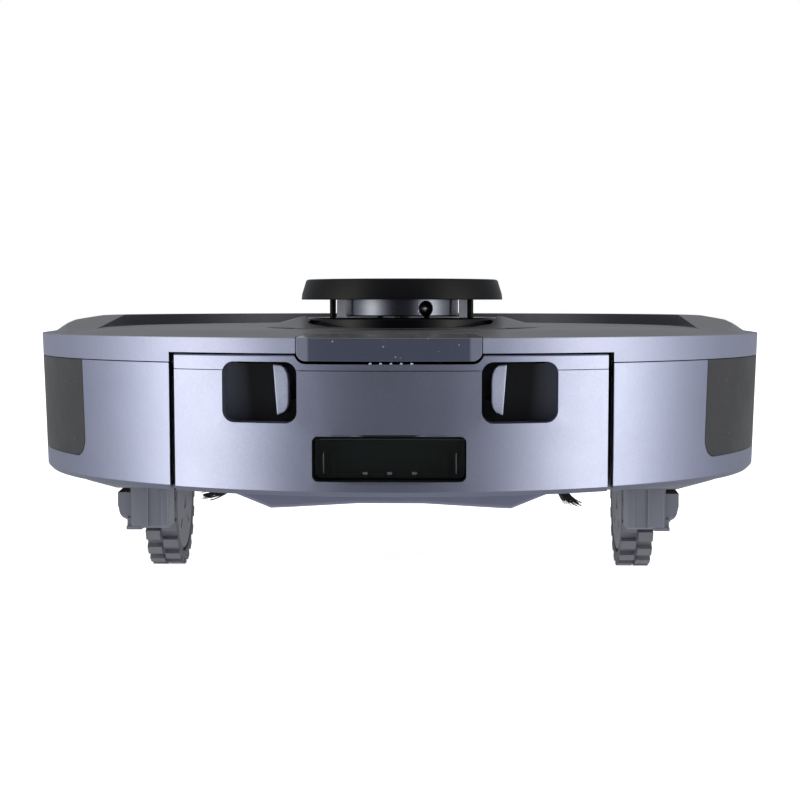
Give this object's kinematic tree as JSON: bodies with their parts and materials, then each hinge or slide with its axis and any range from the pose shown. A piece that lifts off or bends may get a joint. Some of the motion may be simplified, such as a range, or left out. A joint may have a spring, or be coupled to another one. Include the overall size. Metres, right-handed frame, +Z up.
{
  "type": "robot vacuum",
  "caption": "Low round robot vacuum with a rear water tank, evacuation port, lidar turret, sprung drive wheels, caster, bumper and spinning brushes.",
  "frame": {"origin": "centre of the bounding box in X and Y, at the lowest point of the hanging drive wheels", "axes": "+Y is the driving direction (the bumper side), +Z is up, the tank and evacuation port face -Y"},
  "size_m": [0.352, 0.352, 0.1428],
  "materials": {
    "shell_paint": "satin metallic lavender grey",
    "top_paint": "satin warm grey",
    "window_dark": "dark grey with fine specks",
    "chassis_plastic": "matte moulded",
    "black_satin": "satin black",
    "black_gloss": "gloss black",
    "smoked_bar": "smoked translucent",
    "module_grey": "satin moulded grey",
    "tyre_rubber": "matte rubber",
    "hub_plastic": "satin",
    "steel": "machined",
    "rubber_dark": "soft matte",
    "bristle": "nylon",
    "roller_rubber": "soft matte",
    "smoke_clear": "smoked clear",
    "filter_white": "pleated",
    "cell_wrap": "wrapped cells",
    "board_green": "laminate",
    "lens_glass": "polished",
    "contact_metal": "plated"
  },
  "bodies": {
    "chassis": {"chassis_base": "chassis_plastic", "base_screws": "steel", "top_cover": "top_paint", "side_shell_left": "shell_paint", "side_shell_right": "shell_paint", "side_windows": "window_dark", "rear_sensor_window": "smoked_bar", "lid_hinge_pins": "steel", "turret_base": "black_gloss", "turret_posts": "black_satin", "turret_cap": "black_satin", "lidar_motor": "module_grey", "wheel_wells": "chassis_plastic", "suspension_springs": "steel", "caster_socket": "chassis_plastic", "suction_housing": "chassis_plastic", "brush_guard": "chassis_plastic", "brush_motor": "module_grey", "dust_bin": "smoke_clear", "dust_filter": "filter_white", "fan_unit": "module_grey", "battery_pack": "cell_wrap", "battery_cover": "chassis_plastic", "main_board": "board_green", "side_brush_motors": "module_grey", "cliff_sensors": "lens_glass", "charge_contacts": "contact_metal", "bumper_switches": "module_grey"},
    "bumper": {"bumper_shell": "shell_paint", "bumper_window": "black_gloss"},
    "lid": {"top_lid": "top_paint"},
    "button": {"power_button": "black_satin"},
    "lidar": {"lidar_drum": "black_satin", "lidar_lens": "lens_glass"},
    "tank": {"tank_body": "shell_paint", "tank_cover": "shell_paint", "filler_plug": "rubber_dark", "mop_mount": "chassis_plastic"},
    "flap": {"evac_flap": "black_gloss"},
    "caster": {"caster_fork": "module_grey"},
    "caster_roller": {"caster_wheel": "tyre_rubber"},
    "main_brush": {"main_brush_core": "hub_plastic", "main_brush_blades": "roller_rubber"},
    "arm_left": {"arm_housing_left": "module_grey", "gear_cover_left": "module_grey", "wheel_motor_left": "steel"},
    "wheel_left": {"wheel_hub_left": "hub_plastic", "tyre_left": "tyre_rubber"},
    "lever_left": {"release_lever_left": "shell_paint"},
    "side_brush_left": {"side_brush_hub_left": "module_grey", "side_brush_bristles_left": "bristle"},
    "arm_right": {"arm_housing_right": "module_grey", "gear_cover_right": "module_grey", "wheel_motor_right": "steel"},
    "wheel_right": {"wheel_hub_right": "hub_plastic", "tyre_right": "tyre_rubber"},
    "lever_right": {"release_lever_right": "shell_paint"},
    "side_brush_right": {"side_brush_hub_right": "module_grey", "side_brush_bristles_right": "bristle"}
  },
  "joints": [
    {"name": "bumper_press", "type": "slide", "parent": "chassis", "child": "bumper", "axis": [0, -1, 0], "range_m": [0, 0.004], "stiffness_N_per_m": 600, "springref_m": -0.004},
    {"name": "lid_hinge", "type": "hinge", "parent": "chassis", "child": "lid", "pos_m": [0, -0.0105, 0.11935], "axis": [1, 0, 0], "range_deg": [0, 70]},
    {"name": "power_press", "type": "slide", "parent": "chassis", "child": "button", "axis": [0, 0, -1], "range_m": [0, 0.001], "stiffness_N_per_m": 800, "springref_m": -0.001},
    {"name": "lidar_spin", "type": "hinge", "parent": "chassis", "child": "lidar", "pos_m": [0.003, -0.08, 0.13], "axis": [0, 0, 1], "continuous": true},
    {"name": "tank_slide", "type": "slide", "parent": "chassis", "child": "tank", "axis": [0, -1, 0], "range_m": [0, 0.1]},
    {"name": "evac_flap_hinge", "type": "hinge", "parent": "tank", "child": "flap", "pos_m": [0, -0.16, 0.0762], "axis": [1, 0, 0], "range_deg": [0, 60], "stiffness_Nm_per_rad": 0.004, "springref_deg": -22.92},
    {"name": "caster_swivel", "type": "hinge", "parent": "chassis", "child": "caster", "pos_m": [0, 0.125, 0.06], "axis": [0, 0, 1], "continuous": true},
    {"name": "caster_roll", "type": "hinge", "parent": "caster", "child": "caster_roller", "pos_m": [0, 0.121, 0.0435], "axis": [1, 0, 0], "continuous": true},
    {"name": "main_brush_spin", "type": "hinge", "parent": "chassis", "child": "main_brush", "pos_m": [0, 0.03, 0.058], "axis": [1, 0, 0], "continuous": true},
    {"name": "arm_left_hinge", "type": "hinge", "parent": "chassis", "child": "arm_left", "pos_m": [-0.13, 0.058, 0.054], "axis": [-1, 0, 0], "range_deg": [0, 35], "stiffness_Nm_per_rad": 0.6, "springref_deg": -34.38},
    {"name": "wheel_left_spin", "type": "hinge", "parent": "arm_left", "child": "wheel_left", "pos_m": [-0.11675, 0.0024, 0.033], "axis": [1, 0, 0], "continuous": true},
    {"name": "lever_left_slide", "type": "slide", "parent": "tank", "child": "lever_left", "axis": [1, 0, 0], "range_m": [0, 0.0035], "stiffness_N_per_m": 300, "springref_m": -0.003},
    {"name": "side_brush_left_spin", "type": "hinge", "parent": "chassis", "child": "side_brush_left", "pos_m": [-0.078, 0.106, 0.037], "axis": [0, 0, 1], "continuous": true},
    {"name": "arm_right_hinge", "type": "hinge", "parent": "chassis", "child": "arm_right", "pos_m": [0.13, 0.058, 0.054], "axis": [-1, 0, 0], "range_deg": [0, 35], "stiffness_Nm_per_rad": 0.6, "springref_deg": -34.38},
    {"name": "wheel_right_spin", "type": "hinge", "parent": "arm_right", "child": "wheel_right", "pos_m": [0.11675, 0.0024, 0.033], "axis": [1, 0, 0], "continuous": true},
    {"name": "lever_right_slide", "type": "slide", "parent": "tank", "child": "lever_right", "axis": [-1, 0, 0], "range_m": [0, 0.0035], "stiffness_N_per_m": 300, "springref_m": -0.003},
    {"name": "side_brush_right_spin", "type": "hinge", "parent": "chassis", "child": "side_brush_right", "pos_m": [0.078, 0.106, 0.037], "axis": [0, 0, 1], "continuous": true}
  ]
}
